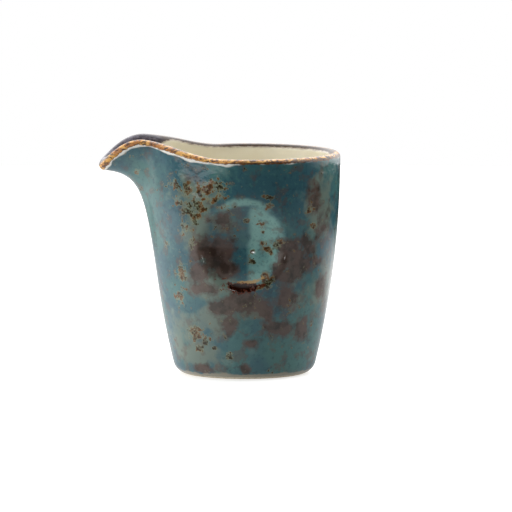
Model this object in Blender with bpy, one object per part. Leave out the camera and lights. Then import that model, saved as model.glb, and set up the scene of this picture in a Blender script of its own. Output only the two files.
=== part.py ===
"""A small ceramic pitcher with no handle: a tapering round cup with a pulled pouring spout and a
round grip dimple pressed into each side.

The fired clay body carries four fired coats: a glaze outside, a glaze inside, a glaze under the
base, and an iron-brown band over the lip. The foot ring is left bare.

Lengths are in metres. +Z is up and the spout points along -X. The origin is the middle of the
bounding box, on the surface that the pitcher stands on.
"""

import math

import bmesh
import bpy
from mathutils import Vector

MM = 0.001

# Driving dimensions.
RIM_RADIUS = 32.5 * MM  # outside of the wall, just under the lip
RIM_HEIGHT = 75.5 * MM  # top of the lip round the body
SPOUT_REACH = 49.5 * MM  # from the body's axis to the tip of the spout
SPOUT_RISE = 4.9 * MM  # the spout's shoulders above the rest of the lip
WALL = 3.5 * MM  # total thickness: coat, clay, coat
COAT = 0.4 * MM  # thickness of each fired coat
CLEARANCE = 0.3 * MM  # between a coat and the clay, and between two coats

# The body's axis is set off the origin, so that the origin is under the middle of the whole.
AXIS_X = (SPOUT_REACH - RIM_RADIUS) / 2

# Taper of the turned body: how much narrower it would be at the ground, and how the curve bends.
TAPER = 9.3 * MM
TAPER_POWER = 2.1

# Foot.
FOOT_ROUND = 5.2 * MM
FOOT_LEAN = math.radians(13.7)  # lean of the wall where the foot's rounding meets it
FOOT_TOP = FOOT_ROUND * (1 - math.sin(FOOT_LEAN))
LAND_INNER_RADIUS = 17.3 * MM
RECESS_DEPTH = 1.8 * MM
RECESS_RADIUS = LAND_INNER_RADIUS - RECESS_DEPTH

# Wall above the waist, where the spout starts to grow out of the turned body.
WAIST_HEIGHT = 30.0 * MM
WAIST_PULL = 14.6 * MM  # lengths of the wall curve's handles, on the body and on the spout
RIM_PULL = 14.6 * MM
SPOUT_WAIST_PULL = 29.8 * MM
SPOUT_RIM_PULL = 13.5 * MM
LIP_RADIUS = WALL / 2
SHOULDER_HEIGHT = RIM_HEIGHT - LIP_RADIUS  # where the wall ends and the lip's rounding starts

# Spout, in plan and in side view.
SPOUT_HALF_ANGLE = math.radians(17.3)
SPOUT_SHARPNESS = 4.6
THROAT_ANGLE = math.radians(60)  # where the lip is pinched in, on each side of the spout
THROAT_WIDTH = math.radians(17)
THROAT_DEPTH = 1.5 * MM
RISE_START = 9.0 * MM  # distances from the axis towards the spout
RISE_END = 37.0 * MM
DROP_START = 34.5 * MM
DROP = 7.65 * MM  # fall of the lip from its shoulders to the tip
SPOUT_LEAN = math.radians(86)  # of the wall at the tip, from upright

# Grip dimples, one on each side, square to the spout.
DIMPLE_HEIGHT = 46.5 * MM
DIMPLE_RADIUS = 15.0 * MM
DIMPLE_DEPTH = 6.8 * MM
DIMPLE_EDGE = 1.3 * MM  # how far the edge rolls over
INNER_DIMPLE_RADIUS = 17.2 * MM
INNER_DIMPLE_DEPTH = 6.3 * MM

# Inside.
FLOOR_HEIGHT = 6.0 * MM
FLOOR_DISH = 0.3 * MM
CORNER_TOP = 12.0 * MM
CORNER_REACH = 8.5 * MM
CORNER_PULL = 4.6 * MM  # length of the corner curve's handles

# Facets. They are closer together round the spout, by this share.
SECTORS = 52
CROWDING = 0.6
STEP = 2e-3  # for taking slopes, in radians or stages

# Stages along the section, from the middle of the underside, out and up the wall, over the lip
# and down inside to the middle of the floor.
RECESS, LAND_INNER, LAND_OUTER, FOOT_END, WAIST = 1, 2, 3, 4, 5
LIP_OUTER, LIP_INNER, INNER_WAIST, CORNER, FLOOR_EDGE, FLOOR_CENTRE = 6, 7, 8, 9, 10, 11

# Where coats end, in the same stages.
GLAZE_LINE = 3.45  # lower edge of the outside glaze, on the foot's rounding
GLAZE_FIRST_RING = 3.7  # the next ring of facets above it
BAND_OUTER = 6.1
BAND_INNER = 6.9
BAND_GAP = CLEARANCE / (math.pi * LIP_RADIUS)  # one clearance round the lip, as a stage
BASE_GLAZE_EDGE = 1.3

# Where the bare clay of the foot ring comes up to the surface, and where it goes under again.
CLAY_UP = (1.45, 1.6)
CLAY_DOWN = (3.21, 3.37)


def runs(*pieces):
    """Stages of several (start, end, steps) runs, joined end to end."""
    found = [pieces[0][0]]
    for start, end, steps in pieces:
        found += [start + (end - start) * (i + 1) / steps for i in range(steps)]
    return found


# Stages where the section has an edge. The clay and its coats share them, so that they nest.
RECESS_FLOOR = runs((0, RECESS, 2))
OUTER_WALL = runs((FOOT_END, WAIST, 5), (WAIST, LIP_OUTER, 10))
LIP_BAND = runs((BAND_OUTER, BAND_INNER, 4))
INNER_WALL = runs((LIP_INNER, INNER_WAIST, 10), (INNER_WAIST, CORNER, 3), (CORNER, FLOOR_CENTRE, 5))


def smooth(share):
    """0 to 1 with level ends."""
    share = min(max(share, 0.0), 1.0)
    return share * share * (3 - 2 * share)


def bezier(a, b, c, d, t):
    """Point on a cubic curve from a to d, with handles b and c."""
    s = 1 - t
    return a * s**3 + b * (3 * s * s * t) + c * (3 * s * t * t) + d * t**3


def at(angle, radius, height):
    """A point by its angle from the spout, its radius and its height."""
    return Vector((-radius * math.cos(angle), -radius * math.sin(angle), height))


def wrapped(angle):
    """The same angle, between -pi and pi."""
    return math.remainder(angle, 2 * math.pi)


def body_radius(height):
    """Outside of the turned body."""
    return RIM_RADIUS - TAPER * (1 - height / RIM_HEIGHT) ** TAPER_POWER


def body_slope(height):
    """How fast that radius grows with height."""
    steepness = TAPER * TAPER_POWER / RIM_HEIGHT
    return steepness * (1 - height / RIM_HEIGHT) ** (TAPER_POWER - 1)


def spout_share(angle):
    """1 at the middle of the spout, falling to 0 round the body."""
    return 1 / (1 + (abs(wrapped(angle)) / SPOUT_HALF_ANGLE) ** SPOUT_SHARPNESS)


def throat_share(angle):
    """1 where the lip is pinched in beside the spout."""
    return math.exp(-(((abs(wrapped(angle)) - THROAT_ANGLE) / THROAT_WIDTH) ** 2))


def shoulder(angle):
    """Radius and height of the wall's upper end, where the lip's rounding starts."""
    share = spout_share(angle)
    pull = SPOUT_REACH - LIP_RADIUS - RIM_RADIUS
    radius = RIM_RADIUS - THROAT_DEPTH * throat_share(angle) + pull * share
    forward = radius * math.cos(angle)
    rise = SPOUT_RISE * smooth((forward - RISE_START) / (RISE_END - RISE_START))
    fall_share = (forward - DROP_START) / (SPOUT_REACH - LIP_RADIUS - DROP_START)
    fall = DROP * max(0.0, fall_share) ** 2
    return radius, SHOULDER_HEIGHT + rise - fall - LIP_RADIUS * share**3


def lower_wall(angle, share):
    height = FOOT_TOP + (WAIST_HEIGHT - FOOT_TOP) * share
    return at(angle, body_radius(height), height)


def upper_wall(angle, share):
    """The wall from the waist to the lip, drawn out into the spout."""
    spout = spout_share(angle)
    top_radius, top_height = shoulder(angle)
    lean = SPOUT_LEAN * spout**1.5
    low_pull = WAIST_PULL + (SPOUT_WAIST_PULL - WAIST_PULL) * spout
    high_pull = RIM_PULL + (SPOUT_RIM_PULL - RIM_PULL) * spout
    waist = Vector((body_radius(WAIST_HEIGHT), WAIST_HEIGHT))
    top = Vector((top_radius, top_height))
    low_handle = waist + Vector((body_slope(WAIST_HEIGHT), 1)) * low_pull
    high_handle = top - Vector((math.sin(lean), math.cos(lean))) * high_pull
    radius, height = bezier(waist, low_handle, high_handle, top, share)
    return at(angle, radius, height)


def outward(surface, angle, share):
    """Unit normal of a wall, pointing away from the axis."""
    around = surface(angle + STEP, share) - surface(angle - STEP, share)
    along = surface(angle, share + STEP) - surface(angle, share - STEP)
    return around.cross(along).normalized()


def lip(angle, share):
    """The half-round over the top of the wall, from outside to inside."""
    out = outward(upper_wall, angle, 1.0)
    around = upper_wall(angle + STEP, 1.0) - upper_wall(angle - STEP, 1.0)
    up = out.cross(around.normalized())
    middle = upper_wall(angle, 1.0) - out * LIP_RADIUS
    turn = math.pi * share
    return middle + (out * math.cos(turn) + up * math.sin(turn)) * LIP_RADIUS


def inside(surface, angle, share):
    return surface(angle, share) - outward(surface, angle, share) * WALL


def inner_lower_wall(angle, share):
    """Down the inside from the waist to the top of the corner."""
    lowest = (CORNER_TOP - FOOT_TOP) / (WAIST_HEIGHT - FOOT_TOP)
    return inside(lower_wall, angle, 1 - (1 - lowest) * share)


def inner_corner(angle, share):
    """From the inside of the wall round to the floor."""
    top = inner_lower_wall(angle, 1.0)
    falling = (top - inner_lower_wall(angle, 1 - STEP)).normalized()
    end_radius = math.hypot(top.x, top.y) - CORNER_REACH
    end = at(angle, end_radius, FLOOR_HEIGHT)
    low_handle = end + at(angle, CORNER_PULL, 0)
    return bezier(top, top + falling * CORNER_PULL, low_handle, end, share)


def floor(angle, share):
    edge = inner_corner(angle, 1.0)
    radius = math.hypot(edge.x, edge.y) * (1 - share)
    return at(angle, radius, FLOOR_HEIGHT - FLOOR_DISH * smooth(share))


def underside(angle, stage):
    """Recess, its edge and the foot's land, up to the end of the foot's rounding."""
    contact_radius = body_radius(FOOT_TOP) - FOOT_ROUND * math.cos(FOOT_LEAN)
    if stage < RECESS:
        return at(angle, RECESS_RADIUS * stage, RECESS_DEPTH)
    if stage < LAND_INNER:
        turn = (stage - RECESS) * math.pi / 2
        return at(
            angle,
            RECESS_RADIUS + RECESS_DEPTH * math.sin(turn),
            RECESS_DEPTH * math.cos(turn),
        )
    if stage < LAND_OUTER:
        share = stage - LAND_INNER
        return at(angle, LAND_INNER_RADIUS + (contact_radius - LAND_INNER_RADIUS) * share, 0)
    turn = (stage - LAND_OUTER) * (math.pi / 2 - FOOT_LEAN)
    return at(
        angle,
        contact_radius + FOOT_ROUND * math.sin(turn),
        FOOT_ROUND * (1 - math.cos(turn)),
    )


def pressed(point, radius, depth):
    """Moves a point inwards where a dimple is pressed into the nearer side: a bowl with its edge
    rounded over."""
    reach = math.hypot(point.x, point.z - DIMPLE_HEIGHT) / radius
    bowl = depth * (1 - reach * reach)
    if bowl < -DIMPLE_EDGE or abs(point.y) < radius / 2:
        return point
    rounding = max(DIMPLE_EDGE - abs(bowl), 0.0) ** 2 / (4 * DIMPLE_EDGE)
    push = max(bowl, 0.0) + rounding
    return point - Vector((0, math.copysign(push, point.y), 0))


def surface(angle, stage):
    """The pitcher's own surface at a stage of its section."""
    if stage < FOOT_END:
        return underside(angle, stage)
    if stage < WAIST:
        return pressed(lower_wall(angle, stage - FOOT_END), DIMPLE_RADIUS, DIMPLE_DEPTH)
    if stage < LIP_OUTER:
        return pressed(upper_wall(angle, stage - WAIST), DIMPLE_RADIUS, DIMPLE_DEPTH)
    if stage < LIP_INNER:
        return lip(angle, stage - LIP_OUTER)
    if stage < INNER_WAIST:
        point = inside(upper_wall, angle, INNER_WAIST - stage)
        return pressed(point, INNER_DIMPLE_RADIUS, INNER_DIMPLE_DEPTH)
    if stage < CORNER:
        point = inner_lower_wall(angle, stage - INNER_WAIST)
        return pressed(point, INNER_DIMPLE_RADIUS, INNER_DIMPLE_DEPTH)
    if stage < FLOOR_EDGE:
        return inner_corner(angle, stage - CORNER)
    return floor(angle, stage - FLOOR_EDGE)


def skin(angle, stage, depth):
    """A point this deep under the surface."""
    point = surface(angle, stage)
    if depth == 0:
        return point
    if stage <= STEP:
        return point + Vector((0, 0, depth))
    if stage >= FLOOR_CENTRE - STEP:
        return point - Vector((0, 0, depth))
    around = surface(angle + STEP, stage) - surface(angle - STEP, stage)
    along = surface(angle, stage + STEP) - surface(angle, stage - STEP)
    return point - around.cross(along).normalized() * depth


def glaze_material(name, colour, roughness):
    material = bpy.data.materials.new(name)
    material.use_nodes = True
    shader = material.node_tree.nodes["Principled BSDF"]
    shader.inputs["Base Color"].default_value = (*colour, 1)
    shader.inputs["Roughness"].default_value = roughness
    shader.inputs["Metallic"].default_value = 0
    return material


def throw(name, section, is_ring, material, parent):
    """Turns a section of (stage, depth) pairs round the axis, then pulls out the spout and presses
    the dimples. A ring's section is a closed loop, and any other starts and ends on the axis."""
    mesh = bmesh.new()
    stage_of = mesh.verts.layers.float.new("stage")
    depth_of = mesh.verts.layers.float.new("depth")
    back = math.pi
    for stage, depth in section:
        vertex = mesh.verts.new(skin(back, stage, depth))
        vertex[stage_of] = stage
        vertex[depth_of] = depth
    chain = list(mesh.verts)
    ends = zip(chain, chain[1:] + chain[:1]) if is_ring else zip(chain, chain[1:])
    for pair in list(ends):
        mesh.edges.new(pair)
    bmesh.ops.spin(
        mesh,
        geom=mesh.verts[:] + mesh.edges[:],
        axis=(0, 0, 1),
        cent=(0, 0, 0),
        angle=2 * math.pi,
        steps=SECTORS,
        use_merge=True,
    )
    bmesh.ops.remove_doubles(mesh, verts=mesh.verts, dist=0.001 * MM)
    for vertex in mesh.verts:
        even = math.atan2(-vertex.co.y, -vertex.co.x)
        angle = even - CROWDING * math.sin(even)
        vertex.co = skin(angle, vertex[stage_of], vertex[depth_of])
    bmesh.ops.recalc_face_normals(mesh, faces=mesh.faces)
    bmesh.ops.triangulate(mesh, faces=mesh.faces, quad_method="SHORT_EDGE")
    data = bpy.data.meshes.new(name)
    mesh.to_mesh(data)
    mesh.free()
    data.materials.append(material)
    data.shade_smooth()
    data.set_sharp_from_angle(angle=math.radians(50))
    piece = bpy.data.objects.new(name, data)
    piece.parent = parent
    bpy.context.scene.collection.objects.link(piece)


def coat(walk):
    """A closed section: along the surface by these stages, and back one coat deeper."""
    return [(stage, 0.0) for stage in walk] + [(stage, COAT) for stage in reversed(walk)]


def clay_section():
    """The clay's own outline: at the surface on the foot ring, and under the coats elsewhere."""
    under = COAT + CLEARANCE
    beneath = RECESS_FLOOR + [CLAY_UP[0]]
    bare = [CLAY_UP[1], LAND_INNER, LAND_OUTER, CLAY_DOWN[0], CLAY_DOWN[1]]
    above = [GLAZE_LINE, GLAZE_FIRST_RING] + OUTER_WALL + LIP_BAND + INNER_WALL
    return (
        [(stage, under) for stage in beneath]
        + [(stage, 0.0) for stage in bare]
        + [(stage, under) for stage in above]
    )


def build():
    for leftover in list(bpy.data.objects):
        bpy.data.objects.remove(leftover)
    pitcher = bpy.data.objects.new("pitcher", None)
    pitcher.location = (AXIS_X, 0, 0)
    bpy.context.scene.collection.objects.link(pitcher)

    clay = glaze_material("bare_clay", (0.62, 0.55, 0.44), 0.75)
    teal = glaze_material("reactive_teal_glaze", (0.05, 0.16, 0.18), 0.12)
    cream = glaze_material("cream_liner_glaze", (0.76, 0.69, 0.53), 0.15)
    brown = glaze_material("iron_rim_glaze", (0.36, 0.17, 0.05), 0.22)

    throw("clay_body", clay_section(), False, clay, pitcher)

    outside = [GLAZE_LINE, GLAZE_FIRST_RING] + OUTER_WALL + [BAND_OUTER - BAND_GAP]
    throw("outer_glaze", coat(outside), True, teal, pitcher)
    throw("rim_band", coat(LIP_BAND), True, brown, pitcher)
    within = [BAND_INNER + BAND_GAP] + INNER_WALL
    throw("inner_glaze", coat(within[::-1]), False, cream, pitcher)
    beneath = RECESS_FLOOR + [BASE_GLAZE_EDGE]
    throw("base_glaze", coat(beneath), False, cream, pitcher)


build()
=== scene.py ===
import math
import random

import bmesh
import bpy
import numpy as np
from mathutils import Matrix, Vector


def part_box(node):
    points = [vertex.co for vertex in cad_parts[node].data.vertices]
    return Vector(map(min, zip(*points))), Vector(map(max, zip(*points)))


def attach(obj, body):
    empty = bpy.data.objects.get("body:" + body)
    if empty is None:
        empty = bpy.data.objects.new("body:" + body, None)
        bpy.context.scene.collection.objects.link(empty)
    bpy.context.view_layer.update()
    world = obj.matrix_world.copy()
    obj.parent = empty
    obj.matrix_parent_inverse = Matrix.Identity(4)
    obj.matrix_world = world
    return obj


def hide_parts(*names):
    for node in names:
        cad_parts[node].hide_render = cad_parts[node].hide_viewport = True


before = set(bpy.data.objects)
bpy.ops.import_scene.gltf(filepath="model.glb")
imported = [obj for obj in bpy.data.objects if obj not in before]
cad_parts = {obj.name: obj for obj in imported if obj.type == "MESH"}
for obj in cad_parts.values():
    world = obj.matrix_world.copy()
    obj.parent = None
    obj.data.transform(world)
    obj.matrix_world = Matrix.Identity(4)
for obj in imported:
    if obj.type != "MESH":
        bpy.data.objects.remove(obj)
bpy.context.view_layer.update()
baseLow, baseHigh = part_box("base_glaze")
axisX = (baseLow.x + baseHigh.x) / 2  # the round body's axis
print("frame loaded, axis at x =", round(axisX * 1000, 2), "mm")

mm = 0.001

# Everything below is in mm from the body's axis, and turned to metres when a mesh is finished.
jug = {
    "rimRadius": 32.5,
    "rimHeight": 75.5,
    "wall": 3.5,  # coat, clay and coat together
    "coat": 0.4,
    "taper": 9.3,
    "taperPower": 2.1,
    "footRound": 5.2,
    "footLean": math.radians(13.7),
    "landInner": 17.3,
    "recess": 1.8,
    "waist": 30.0,
    "waistPull": (14.6, 29.8),  # wall curve's handles: on the body, on the spout
    "rimPull": (14.6, 13.5),
    "floor": 6.0,
    "floorDish": 0.3,
    "cornerTop": 12.0,
    "cornerReach": 8.5,
    "cornerPull": 4.6,
    "under": 0.45,  # clay surface below a coat's
}
spout = {
    "reach": 49.5,
    "halfAngle": math.radians(17.3),
    "sharpness": 4.6,
    "throatAngle": math.radians(60),  # the lip is pinched in beside the spout
    "throatWidth": math.radians(17),
    "throatDepth": 1.5,
    "rise": 4.9,
    "riseSpan": (9.0, 37.0),
    "dropStart": 34.5,
    "drop": 7.65,
    "lean": math.radians(86),
}
dimple = {
    "height": 46.5,
    "outer": (15.0, 6.8),  # radius and depth
    "inner": (17.2, 6.3),
    "edge": 1.3,  # how far the edge rolls over
}
mesh = {
    "sectors": 288,
    "crowding": 0.6,  # sectors are closer together round the spout
    "step": 1e-4,  # for slopes
    "merge": 1e-4,
    "sharp": math.radians(50),
}
# Stages along the section: underside, foot, wall, lip, inside, floor. The whole numbers are where the
# shape changes, and between them one coat ends and the next begins, or the clay steps under a coat.
stage = {
    "middle": 0, "recess": 1, "baseStep": 1.25, "baseEdge": 1.3, "bareStart": 1.4, "landInner": 2,
    "landOuter": 3, "glazeLine": 3.45, "glazeStep": 3.46, "footEnd": 4, "waist": 5,
    "lipOuter": 6, "bandOuter": 6.1, "bandInner": 6.9, "lipInner": 7,
    "innerWaist": 8, "corner": 9, "floorEdge": 10, "centre": 11,
}
footTop = jug["footRound"] * (1 - math.sin(jug["footLean"]))
lipRadius = jug["wall"] / 2


def smooth(share):
    share = np.clip(share, 0, 1)
    return share * share * (3 - 2 * share)


def mixed(pair, share):
    return pair[0] + (pair[1] - pair[0]) * share


def at(angle, radius, height):
    height = height + np.zeros_like(angle)
    return np.stack([-radius * np.cos(angle), -radius * np.sin(angle), height], axis=1)


def bezier(a, b, c, d, t):
    s = 1 - t
    return a * s**3 + b * (3 * s * s * t) + c * (3 * s * t * t) + d * t**3


def unit(vectors):
    return vectors / np.maximum(np.linalg.norm(vectors, axis=1, keepdims=True), 1e-12)


def fromSpout(angle):
    return np.abs((angle + math.pi) % (2 * math.pi) - math.pi)


def bodyRadius(height):
    return jug["rimRadius"] - jug["taper"] * (1 - height / jug["rimHeight"]) ** jug["taperPower"]


def spoutShare(angle):
    return 1 / (1 + (fromSpout(angle) / spout["halfAngle"]) ** spout["sharpness"])


def lowerWall(angle, share):
    height = footTop + (jug["waist"] - footTop) * share
    return at(angle, bodyRadius(height), height)


def upperWall(angle, share):
    pulled = spoutShare(angle)
    throat = np.exp(-(((fromSpout(angle) - spout["throatAngle"]) / spout["throatWidth"]) ** 2))
    topRadius = jug["rimRadius"] - spout["throatDepth"] * throat
    topRadius = topRadius + (spout["reach"] - lipRadius - jug["rimRadius"]) * pulled
    forward = topRadius * np.cos(angle)
    low, high = spout["riseSpan"]
    rise = spout["rise"] * smooth((forward - low) / (high - low))
    dropSpan = spout["reach"] - lipRadius - spout["dropStart"]
    fall = spout["drop"] * np.maximum(0, (forward - spout["dropStart"]) / dropSpan) ** 2
    topHeight = jug["rimHeight"] - lipRadius + rise - fall - lipRadius * pulled**3
    lean = spout["lean"] * pulled**1.5
    waistRadius = bodyRadius(jug["waist"])
    steepness = jug["taper"] * jug["taperPower"] / jug["rimHeight"]
    slope = steepness * (1 - jug["waist"] / jug["rimHeight"]) ** (jug["taperPower"] - 1)
    lowPull = mixed(jug["waistPull"], pulled)
    highPull = mixed(jug["rimPull"], pulled)
    radius = bezier(
        waistRadius, waistRadius + slope * lowPull,
        topRadius - np.sin(lean) * highPull, topRadius, share,
    )
    height = bezier(
        jug["waist"], jug["waist"] + lowPull, topHeight - np.cos(lean) * highPull, topHeight, share
    )
    return at(angle, radius, height)


def slopes(surface, angle, share):
    step = mesh["step"]
    around = surface(angle + step, share) - surface(angle - step, share)
    along = surface(angle, share + step) - surface(angle, share - step)
    return around, along


def outward(surface, angle, share):
    around, along = slopes(surface, angle, share)
    return unit(np.cross(around, along))


def lip(angle, share):
    top = np.ones_like(angle)
    around, along = slopes(upperWall, angle, top)
    out = unit(np.cross(around, along))
    up = np.cross(out, unit(around))
    middle = upperWall(angle, top) - out * lipRadius
    turn = (math.pi * share)[:, None]
    return middle + (out * np.cos(turn) + up * np.sin(turn)) * lipRadius


def innerUpperWall(angle, share):
    return upperWall(angle, 1 - share) - outward(upperWall, angle, 1 - share) * jug["wall"]


def innerLowerWall(angle, share):
    lowest = (jug["cornerTop"] - footTop) / (jug["waist"] - footTop)
    outerShare = 1 - (1 - lowest) * share
    return lowerWall(angle, outerShare) - outward(lowerWall, angle, outerShare) * jug["wall"]


def innerCorner(angle, share):
    end = np.ones_like(angle)
    top = innerLowerWall(angle, end)
    falling = unit(top - innerLowerWall(angle, end - mesh["step"]))
    floorRadius = np.hypot(top[:, 0], top[:, 1]) - jug["cornerReach"]
    bottom = at(angle, floorRadius, jug["floor"])
    pull = jug["cornerPull"]
    return bezier(top, top + falling * pull, bottom + at(angle, pull, 0), bottom, share[:, None])


def floorDisc(angle, share):
    edge = innerCorner(angle, np.ones_like(angle))
    radius = np.hypot(edge[:, 0], edge[:, 1]) * (1 - share)
    return at(angle, radius, jug["floor"] - jug["floorDish"] * smooth(share))


def recessFloor(angle, share):
    return at(angle, (jug["landInner"] - jug["recess"]) * share, jug["recess"])


def recessEdge(angle, share):
    turn = share * math.pi / 2
    depth = jug["recess"]
    return at(angle, jug["landInner"] - depth + depth * np.sin(turn), depth * np.cos(turn))


def landRing(angle, share):
    outer = bodyRadius(footTop) - jug["footRound"] * math.cos(jug["footLean"])
    return at(angle, jug["landInner"] + (outer - jug["landInner"]) * share, 0)


def footEdge(angle, share):
    turn = share * (math.pi / 2 - jug["footLean"])
    inner = bodyRadius(footTop) - jug["footRound"] * math.cos(jug["footLean"])
    size = jug["footRound"]
    return at(angle, inner + size * np.sin(turn), size * (1 - np.cos(turn)))


def pressed(points, radius, depth):
    # A bowl pushed straight in, with its edge rounded over.
    reach = np.hypot(points[:, 0], points[:, 2] - dimple["height"]) / radius
    bowl = depth * (1 - reach**2)
    rounding = np.maximum(dimple["edge"] - np.abs(bowl), 0) ** 2 / (4 * dimple["edge"])
    push = np.where(np.abs(points[:, 1]) > radius / 2, np.maximum(bowl, 0) + rounding, 0)
    result = points.copy()
    result[:, 1] -= np.sign(points[:, 1]) * push
    return result


zones = [recessFloor, recessEdge, landRing, footEdge, lowerWall, upperWall, lip]
zones += [innerUpperWall, innerLowerWall, innerCorner, floorDisc]


def jugSurface(angle, position):
    number = np.clip(np.floor(position), 0, len(zones) - 1).astype(int)
    points = np.zeros((len(angle), 3))
    for i, zone in enumerate(zones):
        chosen = number == i
        if chosen.any():
            points[chosen] = zone(angle[chosen], position[chosen] - i)
    outside = (number >= stage["footEnd"]) & (number < stage["lipOuter"])
    inside = (number >= stage["lipInner"]) & (number < stage["corner"])
    points[outside] = pressed(points[outside], *dimple["outer"])
    points[inside] = pressed(points[inside], *dimple["inner"])
    return points


def skin(angle, position, depth):
    points = jugSurface(angle, position)
    around, along = slopes(jugSurface, angle, position)
    normal = unit(np.cross(around, along))
    normal[position <= mesh["step"]] = (0, 0, -1)  # the two ends of the section, on the axis
    normal[position >= stage["centre"] - mesh["step"]] = (0, 0, 1)
    return points - normal * depth[:, None]


def runs(first, *rest):
    # Named stages in order, with the number of rows from each to the next.
    names = (first, *rest[1::2])
    found = [stage[first]]
    for before, after, rows in zip(names, names[1:], rest[::2]):
        start, end = stage[before], stage[after]
        found += [start + (end - start) * (i + 1) / rows for i in range(rows)]
    return found


def throw(name, section, isRing):
    made = bmesh.new()
    stageOf = made.verts.layers.float.new("stage")
    depthOf = made.verts.layers.float.new("depth")
    stages = np.array([s for s, d in section], float)
    depths = np.array([d for s, d in section], float)
    for point, s, d in zip(skin(np.full(len(stages), math.pi), stages, depths), stages, depths):
        corner = made.verts.new(point)
        corner[stageOf] = s
        corner[depthOf] = d
    chain = list(made.verts)
    ends = zip(chain, chain[1:] + chain[:1]) if isRing else zip(chain, chain[1:])
    for pair in list(ends):
        made.edges.new(pair)
    bmesh.ops.spin(
        made, geom=made.verts[:] + made.edges[:], axis=(0, 0, 1), cent=(0, 0, 0),
        angle=2 * math.pi, steps=mesh["sectors"], use_merge=True,
    )
    bmesh.ops.remove_doubles(made, verts=made.verts, dist=mesh["merge"])
    bmesh.ops.recalc_face_normals(made, faces=made.faces)
    data = bpy.data.meshes.new(name)
    made.to_mesh(data)
    made.free()
    count = len(data.vertices)
    places = np.zeros(count * 3, np.float32)
    data.vertices.foreach_get("co", places)
    places = places.reshape(-1, 3).astype(float)
    even = np.arctan2(-places[:, 1], -places[:, 0])
    angle = even - mesh["crowding"] * np.sin(even)
    position = np.zeros(count, np.float32)
    data.attributes["stage"].data.foreach_get("value", position)
    depth = np.zeros(count, np.float32)
    data.attributes["depth"].data.foreach_get("value", depth)
    position = position.astype(float)
    places = skin(angle, position, depth.astype(float))
    paint(data, places, angle, position)
    places = places * mm + np.array([axisX, 0, 0])
    data.vertices.foreach_set("co", places.astype(np.float32).ravel())
    data.attributes.remove(data.attributes["stage"])
    data.attributes.remove(data.attributes["depth"])
    data.update()
    data.shade_smooth()
    data.set_sharp_from_angle(angle=mesh["sharp"])
    piece = bpy.data.objects.new(name, data)
    bpy.context.scene.collection.objects.link(piece)
    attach(piece, "root")
    print(name, len(data.polygons), "faces")
    return piece


def coat(top, under):
    return [(s, 0.0) for s in top] + [(s, jug["coat"]) for s in reversed(under)]


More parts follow.
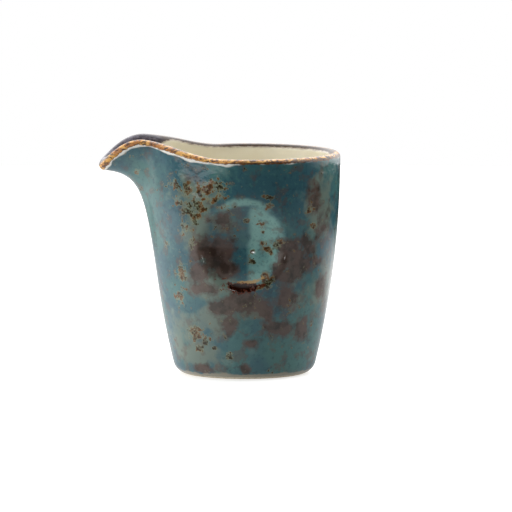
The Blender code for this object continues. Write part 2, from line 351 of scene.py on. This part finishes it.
# Spots where the glaze broke, seen from the side with the spout to the left: across and up in mm
# from the axis and the foot, half width, half height, strength.
spots = {
    "brown": [
        (-7.5, 54.5, 3.6, 4.2, 0.75),
        (-7.8, 42.6, 4.8, 6.2, 1.05),
        (-10.6, 43.4, 2.8, 3.2, 1.3),
        (-6.6, 38.8, 3.4, 3.2, 1.4),
        (-16.0, 44.0, 2.8, 4.6, 0.8),
        (-15.0, 37.5, 3.6, 3.8, 0.9),
        (-11.5, 31.6, 4.4, 2.6, 0.85),
        (-16.8, 30.6, 2.6, 2.6, 0.8),
        (-3.6, 38.6, 2.6, 2.6, 0.8),
        (-12.4, 55.0, 2.2, 3.0, 0.6),
        (17.2, 40.3, 5.6, 5.6, 1.05),
        (14.8, 36.5, 3.6, 3.2, 0.95),
        (15.2, 45.2, 4.0, 4.0, 1.0),
        (13.2, 40.6, 2.8, 3.6, 1.3),
        (11.4, 38.2, 2.8, 3.2, 1.15),
        (25.0, 39.8, 2.2, 3.2, 0.85),
        (-1.5, 26.8, 7.8, 3.6, 1.05),
        (-5.5, 25.4, 3.8, 3.0, 0.9),
        (-4.8, 18.8, 3.6, 3.8, 0.95),
        (12.4, 17.0, 3.4, 3.4, 0.85),
        (19.9, 16.6, 2.2, 5.2, 0.8),
        (-14.0, 3.4, 3.2, 2.0, 1.0),
        (0.6, 3.6, 2.0, 2.2, 0.8),
        (12.0, 27.2, 5.6, 4.4, 0.7),
        (24.0, 60.8, 2.8, 4.8, 0.72),
        (25.8, 51.2, 2.6, 5.6, 0.8),
        (26.0, 30.4, 2.2, 5.0, 0.75),
        (-28.6, 19.0, 1.4, 4.0, 0.8),
        (7.0, 24.0, 3.4, 2.8, 0.75),
        (21.5, 45.0, 3.4, 4.6, 0.72),
        (8.5, 19.0, 3.0, 4.0, 0.5),
        (-9.6, 25.0, 3.0, 3.0, 0.6),
        (-13.2, 47.6, 2.6, 3.4, 0.75),
        (1.5, 13.0, 3.6, 2.2, 0.6),
    ],
    "haze": [
        (-10.5, 33.0, 9.0, 7.5, 1.0),
        (-9.0, 20.0, 8.5, 8.0, 0.9),
        (-15.5, 50.5, 5.5, 9.5, 0.95),
        (-21.0, 15.0, 6.5, 10.0, 0.85),
        (-18.0, 70.0, 4.0, 4.0, 0.35),
        (-7.0, 54.0, 6.0, 5.0, 0.9),
        (2.5, 25.0, 7.5, 5.0, 0.8),
        (19.0, 30.0, 7.5, 9.0, 0.55),
        # The next two tall spots at the right edge are partly haze and partly painted reflection: a soft
        # grey sheen down that edge.
        (25.5, 57.0, 5.5, 13.0, 0.95),
        (26.0, 32.0, 5.0, 12.0, 0.8),
        (-15.0, 63.0, 9.0, 7.0, 0.95),
        (-16.0, 8.5, 9.0, 6.5, 1.0),
    ],
    "rust": [
        (-19.5, 64.2, 2.9, 2.6, 0.88),
        (-23.6, 66.6, 2.6, 2.4, 0.7),
        (-21.5, 60.6, 2.2, 2.0, 0.7),
        (-16.8, 55.6, 2.6, 2.4, 0.75),
        (-17.6, 47.0, 1.8, 2.2, 0.7),
        (-12.8, 13.8, 2.0, 2.0, 0.75),
        (-13.8, 65.0, 2.2, 2.0, 0.9),
        (-9.0, 66.6, 3.6, 2.6, 0.85),
        (-8.6, 63.4, 1.6, 1.9, 0.9),
        (-15.2, 59.4, 2.4, 2.4, 1.0),
        (-18.8, 58.2, 2.4, 2.2, 0.95),
        (-19.6, 52.4, 1.9, 3.2, 0.9),
        (-6.4, 59.4, 2.8, 1.2, 0.75),
        (-12.0, 61.6, 3.0, 1.6, 0.7),
        (-26.2, 46.0, 0.9, 1.2, 0.9),
        (-21.2, 36.2, 2.0, 3.4, 0.85),
        (-21.8, 27.6, 1.5, 2.6, 0.75),
        (-16.6, 16.0, 2.6, 3.2, 0.95),
        (-15.0, 10.6, 1.6, 1.4, 0.9),
        (-5.3, 8.6, 1.2, 1.9, 1.15),
        (-10.0, 11.0, 1.2, 0.8, 0.85),
        (0.9, 54.6, 1.6, 1.0, 0.95),
        (6.0, 53.6, 0.9, 0.8, 0.85),
        (6.0, 50.8, 0.8, 0.8, 0.85),
        (8.6, 60.2, 1.7, 1.1, 0.85),
        (7.6, 63.0, 1.9, 0.7, 1.0),
        (6.6, 46.9, 1.2, 1.0, 1.0),
        (11.0, 46.4, 1.6, 1.5, 1.1),
        (3.0, 44.0, 1.0, 1.1, 1.0),
        (8.2, 44.4, 1.9, 1.5, 0.8),
        (2.4, 40.6, 1.1, 1.0, 0.85),
        (7.0, 35.6, 1.6, 1.6, 0.95),
        (7.8, 33.6, 2.2, 1.4, 1.1),
        (5.2, 32.4, 1.6, 1.0, 0.95),
        (22.0, 58.0, 1.2, 1.4, 0.95),
        (23.2, 52.4, 1.5, 1.5, 0.8),
        (-23.6, 79.4, 1.6, 2.4, 0.85),
        (-41.0, 77.0, 2.0, 2.6, 0.85),
        (-36.6, 69.6, 1.2, 1.2, 0.8),
    ],
}
# The side turned away carries the same marks, strewn by chance over this part of it.
backSide = {"across": (-27, 27), "up": (6, 68), "stretch": (0.7, 1.4)}
scatter = {
    "brown": {"count": 15, "size": (2.2, 6.0), "strength": (0.75, 1.05), "seed": 4},
    "haze": {"count": 9, "size": (4.0, 9.0), "strength": (0.5, 1.0), "seed": 7},
    "rust": {"count": 30, "size": (1.0, 3.2), "strength": (0.8, 1.05), "seed": 11},
}
crescents = {  # below the dimple: mm from its middle, thickness, degrees from straight down, half length
    "scorch": (14.7, 2.7, -4.0, 38.0),
    "fringe": (12.8, 0.9, 6.0, 34.0),
}
dimpleSheen = {  # painted reflection in the dimple: pale teal where light falls on its lit half
    "reach": (11.5, 16.0),
    "left": -0.4,  # its edge, and how soft that is low down and high up
    "soft": (3.0, 4.5),
    "change": (42.0, 53.0),
    "strength": (0.82, 1.1),
    "arc": (14.7, 1.6),  # a painted highlight: the thin bright line along the top edge
    "arcSpan": (9.0, 50.0, 56.0),
    "arcStrength": 1.15,
}
blends = {  # mm over which one look gives way to another
    "front": (-5, 5),  # from the side turned away
    "beak": (24, 34),  # towards the spout, where the iron ran down inside
    "pale": (-4, 10),  # towards the spout, where more slip and more of the painted highlight show
}


def strewn(count, size, strength, seed):
    chance = random.Random(seed)
    found = []
    for _ in range(count):
        width = chance.uniform(*size)
        height = width * chance.uniform(*backSide["stretch"])
        place = (chance.uniform(*backSide["across"]), chance.uniform(*backSide["up"]))
        found.append((*place, width, height, chance.uniform(*strength)))
    return found


def spotted(across, up, found):
    total = np.zeros_like(across)
    for x, z, width, height, strength in found:
        reach = ((across - x) / width) ** 2 + ((up - z) / height) ** 2
        total = np.maximum(total, strength * np.exp(-reach))
    return total


def between(value, low, high):
    return smooth((value - low) / (high - low))


def paint(data, points, angle, position):
    x, y, z = points.T
    values = {}
    front = between(-y, *blends["front"])
    for mark, found in spots.items():
        behind = spotted(x, z, strewn(**scatter[mark]))
        values[mark] = np.maximum(front * spotted(x, z, found), (1 - front) * behind)
    # Distance over the surface from the crest of the lip: outside positive, inside negative.
    outerEdge = jugSurface(angle, np.full_like(angle, stage["lipOuter"]))
    innerEdge = jugSurface(angle, np.full_like(angle, stage["lipInner"]))
    quarter = lipRadius * math.pi / 2
    outside = np.linalg.norm(points - outerEdge, axis=1) + quarter
    inside = -np.linalg.norm(points - innerEdge, axis=1) - quarter
    over = (stage["lipOuter"] + 0.5 - position) * 2 * quarter
    values["fromLip"] = np.where(
        position < stage["lipOuter"], outside, np.where(position > stage["lipInner"], inside, over)
    )
    for name in ("beak", "pale"):
        values[name] = between(-x, *blends[name])
    # Painted reflection and highlight in the dimple: pale over its lit half, and a bright line along its
    # top edge.
    ring = np.hypot(x, z - dimple["height"])
    soft = mixed(dimpleSheen["soft"], between(z, *dimpleSheen["change"]))
    side = (1 - between(ring, *dimpleSheen["reach"])) * smooth((x - dimpleSheen["left"]) / soft)
    side = side * mixed(dimpleSheen["strength"], between(z, *dimpleSheen["change"]))
    middle, thick = dimpleSheen["arc"]
    span, low, high = dimpleSheen["arcSpan"]
    arc = np.exp(-(((ring - middle) / thick) ** 2) - (x / span) ** 4) * between(z, low, high)
    values["dimpleSheen"] = np.maximum(side, dimpleSheen["arcStrength"] * arc)
    bearing = np.degrees(np.arctan2(x, dimple["height"] - z))
    for mark, (radius, thick, middle, length) in crescents.items():
        along = ((bearing - middle) / length) ** 2
        values[mark] = np.exp(-along - ((ring - radius) / thick) ** 2)
    for name, value in values.items():
        layer = data.attributes.new(name, "FLOAT", "POINT")
        layer.data.foreach_set("value", value.astype(np.float32))


def linear(code):
    parts = [int(code[i : i + 2], 16) / 255 for i in (1, 3, 5)]
    return tuple(c / 12.92 if c <= 0.04045 else ((c + 0.055) / 1.055) ** 2.4 for c in parts) + (1,)


def add(tree, kind, inputs, out=0, **settings):
    node = tree.nodes.new("ShaderNode" + kind)
    for name, value in settings.items():
        setattr(node, name, value)
    for socket, value in inputs.items():
        if isinstance(value, bpy.types.NodeSocket):
            tree.links.new(value, node.inputs[socket])
        else:
            node.inputs[socket].default_value = value
    return node.outputs[out] if node.outputs else None


def newMaterial(name, roughness):
    material = bpy.data.materials.new(name)
    material.use_nodes = True
    shader = material.node_tree.nodes["Principled BSDF"]
    shader.inputs["Roughness"].default_value = roughness
    shader.inputs["IOR"].default_value = 1.52  # glass, which a fired glaze is
    return material, material.node_tree, shader


def fields(tree, textures, painted, squash=1.0):
    # What a glaze is mixed from: cloudy textures at real sizes, and the marks painted on the mesh.
    place = add(tree, "TexCoord", {}, out="Object")
    found = {"place": place}
    if squash != 1:
        place = add(tree, "VectorMath", {0: place, 1: (1, 1, squash)}, operation="MULTIPLY")
    for name, (size, detail, roughness) in textures.items():
        inputs = {"Scale": 1000 / size, "Detail": detail, "Roughness": roughness}
        found[name] = add(tree, "TexNoise", {"Vector": place, **inputs})
    for name in painted:
        found[name] = add(tree, "Attribute", {}, out="Fac", attribute_name=name)
    return found


def tones(glaze):
    return {name: linear(code) for name, code in glaze.items() if isinstance(code, str)}


def layOver(tree, colour, top, pattern, low, high, share=1.0, times=1.0, plus=0.0):
    # One colour over another, where pattern * times + plus goes from low to high.
    pattern = add(tree, "Math", {0: pattern, 1: times, 2: plus}, operation="MULTIPLY_ADD")
    limits = {0: pattern, 1: low, 2: high, 4: share}
    mask = add(tree, "MapRange", limits, interpolation_type="SMOOTHSTEP")
    return add(tree, "Mix", {0: mask, 6: colour, 7: top}, out=2, data_type="RGBA")


def layAll(tree, colour, layers, tone, f):
    # All the rows of a table of layers, in order.
    for top, pattern, low, high, share, *crowd in layers:
        times, mark = crowd or (1.0, None)
        plus = f[mark] if mark else 0.0
        colour = layOver(tree, colour, tone[top], f[pattern], low, high, share, times, plus)
    return colour


# Rows of layers, from the ground up: colour, pattern, the levels where it starts and is full, how
# much it covers, then how many times the pattern counts and a mark that is added to it.
teal = {
    # pale is a painted reflection: the lit half and top edge of the dimple.
    "blue": "#3f6873", "green": "#527f7c", "deep": "#294c5b", "thin": "#7d9c94", "haze": "#7c897b",
    "pale": "#8cbdb5", "mauve": "#645048", "umber": "#33261f", "halo": "#93987c", "rust": "#74502e",
    "olive": "#38341f", "heart": "#2b1d10", "ember": "#26100a", "burnt": "#6e3219",
    # footLine is partly a painted reflection of the table along the foot.
    "straw": "#c99c58", "footLine": "#a39a86",
    "roughness": 0.07,
    "textures": {  # size in mm, octaves, roughness
        "cloud": (17, 3, 0.5),
        "mottle": (4.2, 5, 0.6),
        "wash": (6.5, 4, 0.55),
        "blotch": (7.0, 6, 0.64),
        "veil": (4.6, 4, 0.55),
        "speck": (2.3, 4, 0.6),
        "freckle": (1.1, 3, 0.6),
        "hue": (3.4, 2, 0.5),
        "fleck": (1.7, 4, 0.6),
    },
    "painted": ("brown", "haze", "rust", "scorch", "fringe", "dimpleSheen"),
    "broken": (0.4, 0.66, 0.8),  # umber over mauve, in the patches
    "speckle": (0.42, 0.58),  # olive over rust, in the specks
    "ground": (
        ("green", "cloud", 0.42, 0.66, 1.0),
        # Painted reflection: pale teal over the lit half and top edge of the dimple.
        ("pale", "wash", 0.7, 1.65, 0.88, 1.2, "dimpleSheen"),
        ("deep", "mottle", 0.5, 0.72, 0.4),
        ("deep", "fleck", 0.56, 0.66, 0.35),
        ("green", "fleck", 0.44, 0.34, 0.5),
        ("haze", "wash", 1.1, 1.6, 0.8, 1.6, "haze"),
        ("thin", "wash", 0.56, 0.74, 0.25),
        ("mauve", "veil", 0.53, 0.64, 0.45),
        ("broken", "blotch", 1.24, 1.5, 0.5, 2.2, "brown"),
        ("broken", "blotch", 1.5, 1.66, 0.8, 2.2, "brown"),
        ("umber", "blotch", 2.0, 2.4, 0.7, 2.2, "brown"),
    ),
    # Texture, how far a painted mark crowds it, and the level where its specks start.
    "specks": (("speck", 0.3, 0.68), ("freckle", 0.25, 0.77)),
    # Round a speck, over it and in its heart: colour, start and full past that level, cover, and how
    # much more it needs a mark.
    "rings": (
        ("halo", -0.05, 0.0, 0.5, 0.08),
        ("speckle", -0.015, 0.015, 0.95, 0.0),
        ("heart", 0.04, 0.12, 0.75, 0.0),
    ),
    "top": (
        ("straw", "fleck", 1.42, 1.72, 0.8, 1.9, "fringe"),
        ("burnt", "fleck", 1.42, 1.52, 0.85, 1.6, "scorch"),
        ("ember", "fleck", 1.5, 1.66, 1.0, 1.6, "scorch"),
        ("footLine", "blotch", 0.6, 0.0, 0.85, -3.4, "height"),  # the coat runs thin at the foot, and its paler line is partly a painted reflection of the table
    ),
}
iron = {
    "gold": "#ecb35a", "orange": "#bb742c", "brown": "#553216", "black": "#1f150f",
    # lilac is a painted sheen on the iron inside the spout; slip is white slip with a painted highlight.
    "slate": "#524e59", "lilac": "#8d8898", "blush": "#6d4a38", "slipAndHighlight": "#faf7ee",
    "roughness": 0.26,
    "squash": 2.2,  # the brush left streaks along the lip
    "textures": {
        "rough": (2.0, 5, 0.65),
        "pool": (3.6, 6, 0.7),
        "streak": (1.8, 4, 0.65),
        "drip": (6.5, 1, 0.5),
    },
    "painted": ("fromLip", "beak", "pale"),
    "borderShift": -0.8,  # mm that the oxide's dark lower border moves, on the spout's side
    "pooledIronAndSheen": (0.46, 0.6, 0.7),  # lilac over slate, inside the spout: pooled iron under a painted sheen
    "oxide": (
        ("orange", "pool", 0.44, 0.56, 1.0),
        ("brown", "rough", 0.5, 0.58, 0.9),
        ("brown", "rough", 2.3, 2.9, 0.9, 2.2, "border"),
        ("black", "pale", 0.5, 0.58, 0.85, -0.04, "streak"),
        ("brown", "fromLip", 0.3, -0.5, 0.9),
        ("black", "pool", -1.0, -1.6, 0.7, -1.6, "fromLip"),
        ("pooledIronAndSheen", "within", -0.3, -1.2, 0.9),
    ),
    # Edges: what pushes each one about and by how many mm, where it starts and is full in mm from the
    # crest of the lip, negative inside, and how much it covers.
    "edges": {
        # The slip line is white slip, made whiter as a painted highlight on the lip's shoulder.
        "slipAndHighlight": ({"rough": 0.4, "drip": 2.2, "pale": -0.8}, 3.85, 3.3, 1.0),
        "outside": ({}, 0.0, 0.5, 1.0),
        "inner": ({"beak": 4.5, "rough": -1.4}, -2.7, -2.4, 1.0),
        "stain": ({"beak": 4.5, "rough": -1.4}, -3.3, -2.6, 0.6),
        "outer": ({"rough": 1.6}, 3.35, 3.05, 1.0),
    },
}
cream = {
    "cream": "#f3eedd", "shade": "#ebe4ce",
    "roughness": 0.1,
    "textures": {"cloud": (14, 3, 0.5)},
    "shading": (0.3, 0.7),
    "meetsTeal": (-0.2, 0.2),  # mm from the crest of the lip
}
clay = {
    "bare": "#d3c8b0", "grit": "#b7a98d", "grog": "#5a4434",
    "roughness": 0.7,
    "textures": {"grain": (0.8, 3, 0.6), "lump": (2.6, 2, 0.5)},
    "layers": (("grit", "grain", 0.4, 0.65, 0.7), ("grog", "lump", 0.6, 0.7, 0.4)),
    "bump": {"Strength": 0.5, "Distance": 0.0001},
}
skinWaves = {  # the skin of a glaze is never quite flat
    "textures": {"slow": (9.0, 2, 0.5), "fast": (2.5, 2, 0.5)},
    "bump": {"Strength": 0.35, "Distance": 0.00012},
}


def tealLayers(tree):
    # Reactive glaze: cloudy teal that broke to mauve-brown patches and rust specks as it cooled.
    f = fields(tree, teal["textures"], teal["painted"])
    height = add(tree, "SeparateXYZ", {0: f["place"]}, out=2)
    f["height"] = add(tree, "Math", {0: height, 1: 1 / mm}, operation="MULTIPLY")
    tone = tones(teal)
    tone["broken"] = layOver(tree, tone["mauve"], tone["umber"], f["mottle"], *teal["broken"])
    tone["speckle"] = layOver(tree, tone["rust"], tone["olive"], f["hue"], *teal["speckle"])
    colour = layAll(tree, tone["blue"], teal["ground"], tone, f)
    for texture, crowd, edge in teal["specks"]:
        for top, low, high, share, more in teal["rings"]:
            ring = (edge + low, edge + high, share, crowd + more)
            colour = layOver(tree, colour, tone[top], f["rust"], *ring, f[texture])
    return layAll(tree, colour, teal["top"], tone, f)


def creamLayers(tree):
    # The liner is plain and smooth, a shade warmer where it ran thicker.
    f = fields(tree, cream["textures"], ())
    tone = tones(cream)
    return layOver(tree, tone["cream"], tone["shade"], f["cloud"], *cream["shading"])


def edgeMask(tree, f, pushes, low, high, share):
    # A brushed or drawn-back edge along the lip, which wanders as textures and marks push it.
    place = f["fromLip"]
    for name, push in pushes.items():
        place = add(tree, "Math", {0: f[name], 1: push, 2: place}, operation="MULTIPLY_ADD")
    limits = {0: place, 1: low, 2: high, 4: share}
    return add(tree, "MapRange", limits, interpolation_type="SMOOTHSTEP")


def ironLayers(tree, colour):
    # Iron oxide brushed over the lip: gold where thin, brown to black where it pooled.
    f = fields(tree, iron["textures"], iron["painted"], iron["squash"])
    border = {0: f["pale"], 1: iron["borderShift"], 2: f["fromLip"]}
    f["border"] = add(tree, "Math", border, operation="MULTIPLY_ADD")
    f["within"] = add(tree, "Math", {0: f["beak"], 1: f["fromLip"]}, operation="MULTIPLY")
    tone = tones(iron)
    # Inside the spout: slate iron under lilac streaks of painted sheen.
    tone["pooledIronAndSheen"] = layOver(tree, tone["slate"], tone["lilac"], f["pool"], *iron["pooledIronAndSheen"])
    oxide = layAll(tree, tone["gold"], iron["oxide"], tone, f)
    edge = {name: edgeMask(tree, f, *row) for name, row in iron["edges"].items()}
    # Just below the oxide the glaze drew back and the white slip shows, most of all by the spout; it is
    # made whiter as a painted highlight on the lip's rounded shoulder.
    slipAndHighlight = add(tree, "Math", {0: edge["slipAndHighlight"], 1: edge["outside"]}, operation="MULTIPLY")
    stain = add(tree, "Math", {0: edge["stain"], 1: edge["outer"]}, operation="MULTIPLY")
    covered = add(tree, "Math", {0: edge["inner"], 1: edge["outer"]}, operation="MULTIPLY")
    for mask, top in ((slipAndHighlight, tone["slipAndHighlight"]), (stain, tone["blush"]), (covered, oxide)):
        colour = add(tree, "Mix", {0: mask, 6: colour, 7: top}, out=2, data_type="RGBA")
    return colour, covered


def fire(tree, shader, colour, covered):
    # A fired glaze is glass: smooth but slightly wavy, and rougher over the iron.
    f = fields(tree, skinWaves["textures"], ())
    tree.links.new(colour, shader.inputs["Base Color"])
    gloss = shader.inputs["Roughness"].default_value
    roughness = add(tree, "MapRange", {0: covered, 3: gloss, 4: iron["roughness"]})
    tree.links.new(roughness, shader.inputs["Roughness"])
    wave = add(tree, "Math", {0: f["slow"], 1: f["fast"]}, operation="ADD")
    bump = add(tree, "Bump", {"Height": wave, **skinWaves["bump"]})
    tree.links.new(bump, shader.inputs["Normal"])


def tealGlaze():
    material, tree, shader = newMaterial("reactiveTealGlaze", teal["roughness"])
    colour, covered = ironLayers(tree, tealLayers(tree))
    fire(tree, shader, colour, covered)
    return material


def rimGlaze():
    # The teal coat outside and the cream one inside meet under the oxide, on the crest of the lip.
    material, tree, shader = newMaterial("ironOxideRimGlaze", teal["roughness"])
    side = add(tree, "Attribute", {}, out="Fac", attribute_name="fromLip")
    ground = layOver(tree, creamLayers(tree), tealLayers(tree), side, *cream["meetsTeal"])
    colour, covered = ironLayers(tree, ground)
    fire(tree, shader, colour, covered)
    return material


def creamGlaze(name):
    material, tree, shader = newMaterial(name, cream["roughness"])
    colour, covered = ironLayers(tree, creamLayers(tree))
    fire(tree, shader, colour, covered)
    return material


def bareClay():
    # Vitrified stoneware, unglazed where it stood on the kiln shelf: matt, pale and gritty.
    material, tree, shader = newMaterial("bareStoneware", clay["roughness"])
    f, tone = fields(tree, clay["textures"], ()), tones(clay)
    colour = layAll(tree, tone["bare"], clay["layers"], tone, f)
    tree.links.new(colour, shader.inputs["Base Color"])
    bump = add(tree, "Bump", {"Height": f["grain"], **clay["bump"]})
    tree.links.new(bump, shader.inputs["Normal"])
    return material


outerGlaze = throw("outerGlaze", coat(
    runs("glazeLine", 8, "footEnd", 46, "waist", 84, "lipOuter", 2, "bandOuter"),
    runs("glazeLine", 3, "footEnd", 12, "waist", 24, "lipOuter", 1, "bandOuter"),
), True)
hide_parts("outer_glaze")
outerGlaze.data.materials.append(tealGlaze())

rimBand = throw("rimBand", coat(
    runs("bandOuter", 18, "bandInner"),
    runs("bandOuter", 9, "bandInner"),
), True)
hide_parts("rim_band")
rimBand.data.materials.append(rimGlaze())

innerGlaze = throw("innerGlaze", coat(
    runs("bandInner", 2, "lipInner", 64, "innerWaist", 22, "corner", 16, "floorEdge", 10, "centre")[::-1],
    runs("bandInner", 1, "lipInner", 18, "innerWaist", 7, "corner", 6, "floorEdge", 3, "centre")[::-1],
), False)
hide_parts("inner_glaze")
innerGlaze.data.materials.append(creamGlaze("creamLinerGlaze"))

bareFoot = runs("baseEdge", 1, "bareStart", 5, "landInner", 4, "landOuter", 7, "glazeLine")
underCoats = runs("glazeStep", 3, "footEnd", 12, "waist", 24, "lipOuter", 8, "lipInner")
underCoats += runs("lipInner", 20, "innerWaist", 7, "corner", 6, "floorEdge", 3, "centre")[1:]
clayBody = throw("clayBody", (
    [(s, jug["under"]) for s in runs("middle", 4, "recess", 1, "baseStep")]
    + [(s, 0.0) for s in bareFoot]
    + [(s, jug["under"]) for s in underCoats]
), False)
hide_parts("clay_body")
clayBody.data.materials.append(bareClay())

baseGlaze = throw("baseGlaze", coat(
    runs("middle", 12, "recess", 4, "baseEdge"),
    runs("middle", 6, "recess", 2, "baseEdge"),
), False)
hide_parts("base_glaze")
baseGlaze.data.materials.append(creamGlaze("creamBaseGlaze"))
print("jug made")

studio = {
    "lens": 600.0,
    "sensor": 36.0,
    "farthest": 50.0,  # m
    "frameWidth": 174.08,  # mm seen across the view, at the jug
    "elevation": 6.0,
    "aim": (12.4, 0.0, 39.8),
    "tableRadius": 0.75,  # m
    "tableSides": 96,
    "table": "#d8d8d6",
    "tableGlow": 0.6,
    "tableRoughness": 0.8,
    "backdrop": 1.0,
}
# Soft panels of light: degrees round from the front (left negative) and up, degrees from the middle
# to where they start to fade and where they end, strength.
panels = {
    "rearLeft": (-120, 5, 5, 38, 1.9),
    "left": (-60, 8, 8, 36, 1.85),
    "leftHigh": (-60, 42, 12, 45, 0.35),
    "rearLeftHigh": (-150, 38, 12, 52, 2.1),
    "rearRightHigh": (130, 32, 15, 62, 2.5),
    "top": (0, 85, 10, 50, 0.75),
    "glint": (-10, 2, 1.0, 2.4, 14.0),
}
# Light lying on the table: metres right and back from the jug, metres from the middle to where it
# starts to fade and where it ends, strength.
pools = {
    "near": (0.0, 0.0, 0.05, 0.16, 0.28),
    "front": (0.05, -0.22, 0.08, 0.25, 0.33),
    "nearLeft": (-0.09, -0.02, 0.03, 0.11, 0.39),
    "left": (-0.22, 0.0, 0.08, 0.25, 1.0),
    "farLeft": (-0.45, 0.08, 0.15, 0.35, 0.9),
    "nearRight": (0.07, 0.03, 0.02, 0.09, 0.26),
    "rearRight": (0.16, 0.16, 0.04, 0.16, 0.76),
    "right": (0.25, -0.02, 0.08, 0.25, 0.25),
    "rear": (0.0, 0.25, 0.08, 0.25, 0.85),
}

floorMesh = bmesh.new()
bmesh.ops.create_circle(
    floorMesh, cap_ends=True, segments=studio["tableSides"], radius=studio["tableRadius"]
)
floorData = bpy.data.meshes.new("table")
floorMesh.to_mesh(floorData)
floorMesh.free()
floorPiece = bpy.data.objects.new("table", floorData)
bpy.context.scene.collection.objects.link(floorPiece)
floorMaterial, floorTree, floorShader = newMaterial("matteWhiteTable", studio["tableRoughness"])
floorShader.inputs["Specular IOR Level"].default_value = 0.0
place = add(floorTree, "TexCoord", {}, out="Object")
total = 0.0
for right, back, inner, outer, strength in pools.values():
    ends = {0: place, 1: (axisX + right, back, 0)}
    reach = add(floorTree, "VectorMath", ends, out=1, operation="DISTANCE")
    pool = {0: reach, 1: outer, 2: inner, 4: strength}
    pool = add(floorTree, "MapRange", pool, interpolation_type="SMOOTHSTEP")
    total = add(floorTree, "Math", {0: total, 1: pool}, operation="ADD")
# The table itself reads white all over, and the pools are what the jug sees of it.
seen = add(floorTree, "LightPath", {}, out="Is Camera Ray")
glow = add(floorTree, "Mix", {0: seen, 2: total, 3: studio["tableGlow"]}, data_type="FLOAT")
colour = {0: seen, 6: (0, 0, 0, 1), 7: linear(studio["table"])}
colour = add(floorTree, "Mix", colour, out=2, data_type="RGBA")
floorTree.links.new(colour, floorShader.inputs["Base Color"])
floorShader.inputs["Emission Color"].default_value = (1, 1, 1, 1)
floorTree.links.new(glow, floorShader.inputs["Emission Strength"])
floorData.materials.append(floorMaterial)

world = bpy.data.worlds.new("softStudio")
bpy.context.scene.world = world
world.use_nodes = True
sky = world.node_tree
sky.nodes.clear()
direction = add(sky, "TexCoord", {}, out="Generated")
total = 0.0
for bearing, up, inner, outer, strength in panels.values():
    bearing, up, inner, outer = np.radians((bearing, up, inner, outer))
    towards = (math.sin(bearing) * math.cos(up), -math.cos(bearing) * math.cos(up), math.sin(up))
    facing = add(sky, "VectorMath", {0: direction, 1: towards}, out=1, operation="DOT_PRODUCT")
    panel = {0: facing, 1: math.cos(outer), 2: math.cos(inner), 4: strength}
    panel = add(sky, "MapRange", panel, interpolation_type="SMOOTHSTEP")
    total = add(sky, "Math", {0: total, 1: panel}, operation="ADD")
seen = add(sky, "LightPath", {}, out="Is Camera Ray")
strength = add(sky, "Mix", {0: seen, 2: total, 3: studio["backdrop"]}, data_type="FLOAT")
background = add(sky, "Background", {0: (1, 1, 1, 1), 1: strength})
add(sky, "OutputWorld", {0: background})

camera = bpy.data.cameras.new("camera")
camera.lens = studio["lens"]
camera.sensor_width = studio["sensor"]
camera.clip_end = studio["farthest"]
cameraPiece = bpy.data.objects.new("camera", camera)
distance = studio["frameWidth"] * mm * studio["lens"] / studio["sensor"]
tilt = math.radians(studio["elevation"])
target = Vector(studio["aim"]) * mm
cameraPiece.location = target + Vector((0, -math.cos(tilt), math.sin(tilt))) * distance
cameraPiece.rotation_euler = (math.pi / 2 - tilt, 0, 0)
bpy.context.scene.collection.objects.link(cameraPiece)
bpy.context.scene.camera = cameraPiece
bpy.context.scene.view_settings.view_transform = "Standard"
print("studio ready")
